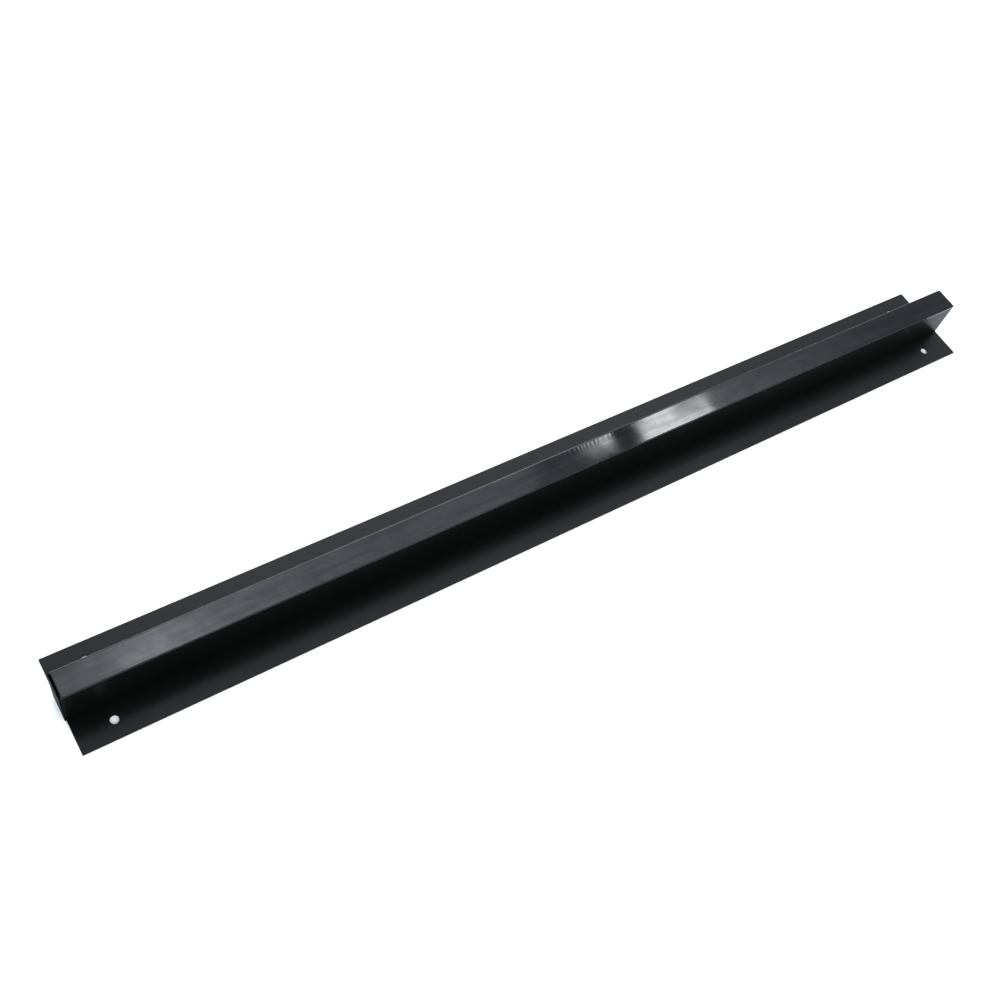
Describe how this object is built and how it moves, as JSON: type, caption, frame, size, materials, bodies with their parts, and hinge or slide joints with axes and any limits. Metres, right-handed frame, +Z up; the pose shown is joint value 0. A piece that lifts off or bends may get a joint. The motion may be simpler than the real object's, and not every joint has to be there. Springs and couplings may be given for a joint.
{
  "type": "kick plate",
  "caption": "Long black hat-section kick plate in folded steel, with flat flanges drilled for screws at the corners, closed ends and a gloss film along the raised top.",
  "frame": {"origin": "middle of the screw-hole pattern, on the underside of the flanges", "axes": "+X along the rail towards the end whose plate is let in, +Y across the flanges, +Z up out of the mounting surface"},
  "size_m": [0.9156, 0.0842, 0.0413],
  "materials": {
    "powder_coat": "satin fine-texture powder coat",
    "coated_weld": "powder coat over a rippled bead",
    "adhesive": "dull, tacky",
    "gloss_film": "high gloss, slightly rippled"
  },
  "bodies": {
    "root": {"hat_channel": "powder_coat", "left_end_plate": "powder_coat", "right_end_plate": "powder_coat", "left_tack_welds": "coated_weld", "right_tack_welds": "coated_weld", "film_adhesive": "adhesive", "gloss_film": "gloss_film"}
  },
  "joints": []
}
